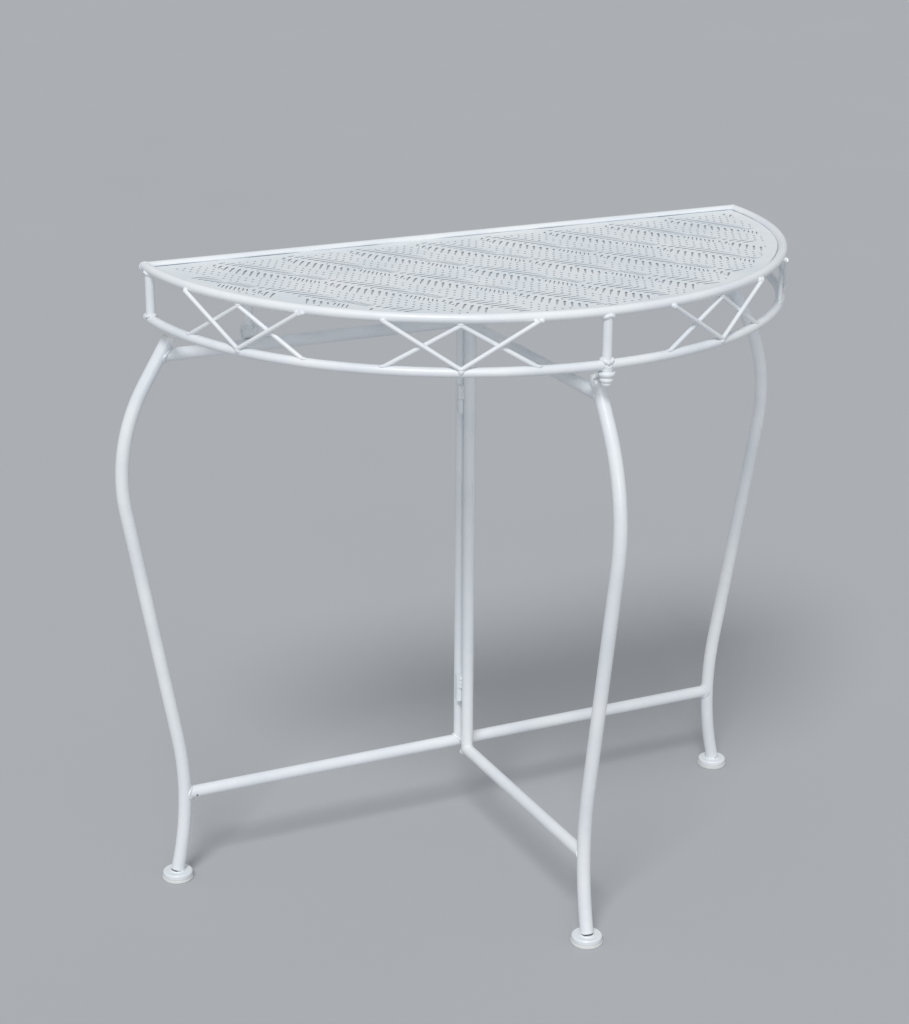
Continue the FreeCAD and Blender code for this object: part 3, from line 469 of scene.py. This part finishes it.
upright_welds = bmesh.new()
for angle, bead in ((-side_angle, side_bead), (front_angle, front_bead), (side_angle, side_bead)):
    tangent = Vector((math.cos(math.radians(angle)), math.sin(math.radians(angle)), 0.0))
    for bar_z, up in ((hoop_z, -1.0), (rim_z, 1.0)):
        bead_round(
            upright_welds, round_spot(top_radius, angle, upright_start_z),
            Vector((0.0, 0.0, up)), upright_radius,
            tube_way(round_spot(top_radius, angle, bar_z), tangent, bar_radius),
            size=bead, level=bead_level)
keep(upright_welds, "upright_weld_beads", "table_top", paint)

# Knob. It is turned as a bulb, a wide dish, a ring and a button, with soft edges under the paint, and
# is welded under the hoop at the front. The catch of the gate holds on to it.
knob_radius = 0.0096
knob_height = 0.0245
knob_steps = 48
knob_shares = (
    (0.56, 0.06), (0.7, 0.14), (0.71, 0.22), (0.59, 0.32), (0.9, 0.3), (1.0, 0.34), (1.0, 0.43),
    (0.88, 0.5), (0.73, 0.56), (0.73, 0.59), (0.79, 0.62), (0.79, 0.71), (0.69, 0.76), (0.56, 0.78),
    (0.6, 0.81), (0.6, 0.88), (0.44, 0.96), (0.23, 1.0), (0.0, 1.0))
cut_share = 0.25
knob_lump = (0.0056, 0.0032, 0.0052)
knob_lump_forward = 0.0036
knob_lump_z = 0.7052


def softened(corners):
    """A profile with each of its corners cut off, which rounds it."""
    rounded = corners[:1]
    for first, second in zip(corners, corners[1:]):
        rounded += [first.lerp(second, cut_share), first.lerp(second, 1.0 - cut_share)]
    return rounded + corners[-1:]


knob_spot = round_spot(top_radius, front_angle, hoop_z)
profile = [
    knob_spot + Vector((knob_radius * across, 0.0, -knob_height * down))
    for across, down in knob_shares]
knob = bmesh.new()
knob_verts = [knob.verts.new(corner) for corner in softened(softened(profile))]
knob_edges = [knob.edges.new(pair) for pair in zip(knob_verts, knob_verts[1:])]
bmesh.ops.spin(
    knob, geom=knob_verts + knob_edges, cent=knob_spot, axis=(0.0, 0.0, 1.0), angle=math.tau,
    steps=knob_steps, use_merge=True)
blob(knob, round_spot(top_radius + knob_lump_forward, front_angle, knob_lump_z), knob_lump)
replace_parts(keep(knob, "turned_knob", "table_top", paint), "finial")
dress(paint, "finial")

# Lattices. Four groups of bent steel wire fill the apron. In each a wire like a V is tacked by its
# ends to the outside of the rim and by its bend to the hoop, and a second wire like an upturned V
# stands behind it. The tacks are plain lumps of weld.
outer_end_angle = 11.9
outer_end_reach = 0.3924
outer_end_z = 0.7618
outer_end_tack = (0.0034, 0.0028, 0.0031)
double_tack = (-0.48, 0.48)
outer_bend_reach = 0.3921
outer_bend_z = 0.7086
outer_bend_tack = (0.0036, 0.0024, 0.0031)
inner_reach = 0.3889
inner_end_angle = 12.2
inner_end_z = 0.7114
inner_end_tack = (0.0038, 0.0028, 0.0019)
inner_bend_z = 0.7588
inner_bend_tack = (0.0042, 0.0026, 0.0014)
tack_swell = 0.4
tack_grain = 90.0
for name, angle in (
        ("left_side_lattice", -62.1), ("left_front_lattice", -24.6),
        ("right_front_lattice", 22.8), ("right_side_lattice", 61.8)):
    dress(paint, name)
    tacks = bmesh.new()
    for side in (-1.0, 1.0):
        end_angle = angle + side * outer_end_angle
        turn = Matrix.Rotation(math.radians(end_angle), 3, "Z")
        for aside in double_tack if side > 0.0 else (0.0,):
            spot = round_spot(outer_end_reach, end_angle + aside, outer_end_z)
            swell = 1.0 + tack_swell * noise.noise(spot * tack_grain)
            blob(tacks, spot, [half * swell for half in outer_end_tack], turn)
        end_angle = angle + side * inner_end_angle
        turn = Matrix.Rotation(math.radians(end_angle), 3, "Z")
        blob(tacks, round_spot(inner_reach, end_angle, inner_end_z), inner_end_tack, turn)
    turn = Matrix.Rotation(math.radians(angle), 3, "Z")
    blob(tacks, round_spot(outer_bend_reach, angle, outer_bend_z), outer_bend_tack, turn)
    blob(tacks, round_spot(inner_reach, angle, inner_bend_z), inner_bend_tack, turn)
    keep(tacks, name + "_tacks", "table_top", paint)

# Sheet of the top. Thin painted steel, punched in rows and columns with leaf figures, a slanting
# midrib with a comb of tapered slots on both sides, and with small leaves and round holes between
# them. It lies inside the rim, with a narrow gap round it that all but closes here and there.
sheet_low, sheet_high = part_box("perforated_panel")
sheet_reach = top_y - sheet_low.y
sheet_rear = sheet_high.y - top_y
sheet_border = 0.0135
cell = Vector((0.084, 0.126, 0.0))
cell_columns = range(-6, 6)
cell_rows = range(0, 5)
midrib = Vector((0.0547, -0.0915, 0.0))
midrib_side = Vector((-midrib.y, midrib.x, 0.0)).normalized()
midrib_width = 0.003
leaf_start = Vector((0.0222, -0.0193, 0.0))
slot_shares = (0.36, 0.56, 0.76, 0.9, 1.0, 1.0, 1.0, 0.96, 0.88, 0.76, 0.6, 0.4)
first_fan = 49.0
fan_growth = 21.0
slot_inset = 0.0015
slot_length = 0.025
large_wide = 0.0017
large_narrow = 0.0006
small_size = 0.6
small_wide = 0.0010
small_narrow = 0.0005
small_room = 0.0026
dot_radius = 0.0015
dot_room = 0.0014
dot_rows = 14
dot_columns = 9
hole_sides = 8
slot_end_share = 0.35


def slot_lines(start, size, wide, narrow):
    """The slots of one leaf, each with its near and far end and their half widths."""
    lines = []
    for number, length_share in enumerate(slot_shares):
        share = (number + 0.5) / len(slot_shares)
        fan = math.radians(first_fan + fan_growth * share)
        root = start + midrib * (share * size)
        way = Vector((-math.cos(fan), -math.sin(fan), 0.0))
        mirrored = way - midrib_side * (2.0 * way.dot(midrib_side))
        for base, heading in ((root, way), (root + midrib_side * midrib_width, mirrored)):
            near = base + heading * (slot_inset * size)
            far = near + heading * (slot_length * length_share * size)
            lines.append((near, far, wide, narrow))
    return lines


def room_round(spot, lines):
    """How much sheet is left between a spot and the nearest slot."""
    least = 1.0
    for near, far, wide, narrow in lines:
        way = far - near
        share = min(max((spot - near).dot(way) / way.length_squared, 0.0), 1.0)
        room = (spot - near - way * share).length - wide - (narrow - wide) * share
        least = min(least, room)
    return least


def repeated(lines):
    """The same slots in the cell and in the eight cells round it."""
    steps = (-1, 0, 1)
    shifts = [Vector((across * cell.x, down * cell.y, 0.0)) for across in steps for down in steps]
    return [
        (near + shift, far + shift, wide, narrow)
        for shift in shifts for near, far, wide, narrow in lines]


def on_sheet(spot):
    """Whether a spot lies inside the plain border of the sheet."""
    return spot.length < sheet_reach - sheet_border and spot.y < sheet_rear - sheet_border


large_slots = slot_lines(leaf_start, 1.0, large_wide, large_narrow)
large_all = repeated(large_slots)
half_cell = Vector((cell.x, -cell.y, 0.0)) / 2
small_start = leaf_start + midrib * 0.5 + half_cell - midrib * (small_size / 2)
small_slots = [
    line for line in slot_lines(small_start, small_size, small_wide, small_narrow)
    if min(room_round(line[0], large_all), room_round(line[1], large_all)) > small_room]
small_all = repeated(small_slots)
dots = []
for row in range(dot_rows):
    for column in range(dot_columns):
        across = (column + row % 2 / 2) * cell.x / dot_columns
        spot = Vector((across, -row * cell.y / dot_rows, 0.0))
        if min(room_round(spot, large_all), room_round(spot, small_all)) > dot_radius + dot_room:
            dots.append(spot)

rim_steps = 240
rear_steps = 80
seam_least = 0.0001
seam_growth = 0.0013
seam_open = 0.45
seam_waves = 7.0
rear_waves = 7.0


def seam(angle):
    """The gap between the sheet and the rim, which opens and closes on its way round."""
    wave = max(0.0, seam_open + math.sin(angle * seam_waves + 1.0))
    return seam_least + seam_growth * wave ** 0.5


punched = bmesh.new()
rim_start = math.asin(sheet_rear / sheet_reach)
outline = []
for step in range(rim_steps + 1):
    angle = math.pi - rim_start + (math.pi + 2.0 * rim_start) * step / rim_steps
    reach = sheet_reach - seam(angle)
    outline.append(punched.verts.new((reach * math.cos(angle), reach * math.sin(angle), 0.0)))
rear_left = outline[0]
rear_right = outline[rim_steps]
for step in range(1, rear_steps):
    across = rear_right.co.x + (rear_left.co.x - rear_right.co.x) * step / rear_steps
    outline.append(punched.verts.new((across, sheet_rear - seam(across * rear_waves), 0.0)))
for first, second in zip(outline, outline[1:] + outline[:1]):
    punched.edges.new((first, second))
for column in cell_columns:
    for row in cell_rows:
        shift = Vector((column * cell.x, -row * cell.y, 0.0))
        for near, far, wide, narrow in large_slots + small_slots:
            if not (on_sheet(near + shift) and on_sheet(far + shift)):
                continue
            way = far - near
            place = Matrix.Translation(near + shift) @ way.to_track_quat("X", "Z").to_matrix().to_4x4()
            hole = bmesh.ops.create_circle(punched, segments=hole_sides, radius=1.0)
            for vert in hole["verts"]:
                share = (vert.co.x + 1.0) / 2.0
                half = wide + (narrow - wide) * share
                at_end = abs(vert.co.x) > 0.8
                across = slot_end_share * half if at_end else half
                vert.co = place @ Vector((way.length * share, math.copysign(across, vert.co.y), 0.0))
        for spot in dots:
            if on_sheet(spot + shift):
                bmesh.ops.create_circle(
                    punched, segments=hole_sides, radius=dot_radius,
                    matrix=Matrix.Translation(spot + shift))
bmesh.ops.triangle_fill(
    punched, use_beauty=True, use_dissolve=False, edges=punched.edges, normal=(0.0, 0.0, 1.0))
raised = bmesh.ops.extrude_face_region(punched, geom=punched.faces)
lifted = [item for item in raised["geom"] if isinstance(item, bmesh.types.BMVert)]
bmesh.ops.translate(punched, verts=lifted, vec=(0.0, 0.0, sheet_high.z - sheet_low.z))
bmesh.ops.translate(punched, verts=punched.verts, vec=(0.0, top_y, sheet_low.z))

sheet_dull = (0.76, 0.82, 0.86, 1.0)
sheet_clean = (0.87, 0.895, 0.91, 1.0)
slot_wall_shade_grey = (0.32, 0.37, 0.42, 1.0)
sheet_paint = Finish("white_sheet_coat")
sheet_colour = sheet_paint.blend(
    sheet_paint.cloud(12.0, detail=3.0) * 2.0 - 0.5, sheet_dull, sheet_clean)
# The upright walls of the punched holes, found by their sideways normals, are painted a dark grey
# shade.
facing = sheet_paint.node("ShaderNodeTexCoord", output="Normal")
slot_wall_shade_mask = sheet_paint.part_of(facing, "Z").maths("COMPARE", 0.0, 0.5)
sheet_with_wall_shade = sheet_paint.blend(slot_wall_shade_mask, sheet_colour, slot_wall_shade_grey)
sheet_roughness = sheet_paint.cloud(30.0, detail=3.0) * 0.15 + 0.30
sheet_waves = sheet_paint.cloud(11.0, detail=1.0) * 0.93 + sheet_paint.cloud(500.0) * 0.07
sheet_wave_depth = 0.004
sheet_paint.shade(
    Base_Color=sheet_with_wall_shade,
    Roughness=sheet_roughness,
    Normal=sheet_paint.relief(sheet_waves, sheet_wave_depth, strength=0.6),
    Coat_Weight=0.15,
    Coat_Roughness=0.3,
)
sheet_piece = keep(punched, "punched_sheet", "table_top", sheet_paint)
for face in sheet_piece.data.polygons:
    face.use_smooth = False
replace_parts(sheet_piece, "perforated_panel")
dress(sheet_paint, "perforated_panel")

# Hinges of the top. At each side a drop post stands against the straight bar of the rim, welded to it
# and to the sheet, with a barrel across its lower end. A second barrel on the same pin is welded on
# the wall frame's upper rail.
barrel_radius = 0.008
barrel_y = 0.198161
barrel_z = 0.678625
drop_reach = 0.27
drop_start_z = 0.72
drop_top_bead = 0.0012
drop_tack = (0.0016, 0.0016, 0.003)
drop_tack_aside = 0.0032
drop_tack_y = 0.2036
drop_tack_z = 0.7608
saddle_weld = (0.0074, 0.0016, 0.0016)
saddle_reach = 0.2534
saddle_y = 0.19396
saddle_z = 0.6716
saddle_aside = 0.0020
saddle_rise = 0.0012
dress(paint, "left_drop_post", "right_drop_post", "top_knuckles", "rail_knuckles", "top_hinge_pins")
drop_welds = bmesh.new()
saddle_welds = bmesh.new()
for side in (-1.0, 1.0):
    drop = Vector((side * drop_reach, barrel_y, drop_start_z))
    bead_round(
        drop_welds, drop, Vector((0.0, 0.0, -1.0)), bar_radius,
        tube_way(Vector((side * drop_reach, barrel_y, barrel_z)), rightward, barrel_radius))
    bead_round(
        drop_welds, drop, upward, bar_radius,
        plane_way(Vector((0.0, 0.0, sheet_low.z)), upward), size=drop_top_bead)
    for face_side in (-1.0, 1.0):
        tack_x = side * drop_reach + face_side * drop_tack_aside
        blob(drop_welds, Vector((tack_x, drop_tack_y, drop_tack_z)), drop_tack)
        saddle_spot = Vector((
            side * saddle_reach, saddle_y - face_side * saddle_aside,
            saddle_z + face_side * saddle_rise))
        blob(saddle_welds, saddle_spot, saddle_weld)
keep(drop_welds, "drop_post_weld_beads", "table_top", paint)
keep(saddle_welds, "rail_knuckle_welds", "back_frame", paint)

# Floor and light. A pale plain floor carries the shadow. A soft lamp shines from high at the front
# left and a weaker one from low in front, under an even pale sky.
floor_size = 60.0
floor_dark = (0.45, 0.46, 0.48, 1.0)
floor_pale = (0.47, 0.48, 0.50, 1.0)
sky_colour = (0.94, 0.97, 1.0, 1.0)
sky_strength = 0.5
floor_shape = bmesh.new()
bmesh.ops.create_grid(floor_shape, x_segments=1, y_segments=1, size=floor_size)
floor_mesh = bpy.data.meshes.new("floor")
floor_shape.to_mesh(floor_mesh)
floor_shape.free()
floor = bpy.data.objects.new("floor", floor_mesh)
floor_finish = Finish("pale_floor")
floor_finish.shade(
    Base_Color=floor_finish.blend(floor_finish.cloud(1.5), floor_dark, floor_pale),
    Roughness=0.9,
    Specular_IOR_Level=0.1,
)
floor_mesh.materials.append(floor_finish.material)
bpy.context.scene.collection.objects.link(floor)
world = bpy.data.worlds.new("studio")
world.use_nodes = True
sky = world.node_tree.nodes["Background"]
sky.inputs["Color"].default_value = sky_colour
sky.inputs["Strength"].default_value = sky_strength
bpy.context.scene.world = world
for name, spot, softness, power in (
        ("key_lamp", (-1.2, -1.6, 2.4), 18.0, 1.60), ("low_lamp", (-0.6, -2.0, 0.35), 12.0, 0.40)):
    lamp_data = bpy.data.lights.new(name, "SUN")
    lamp_data.angle = math.radians(softness)
    lamp_data.energy = power
    lamp = bpy.data.objects.new(name, lamp_data)
    lamp.rotation_euler = (-Vector(spot)).to_track_quat("-Z", "Y").to_euler()
    bpy.context.scene.collection.objects.link(lamp)
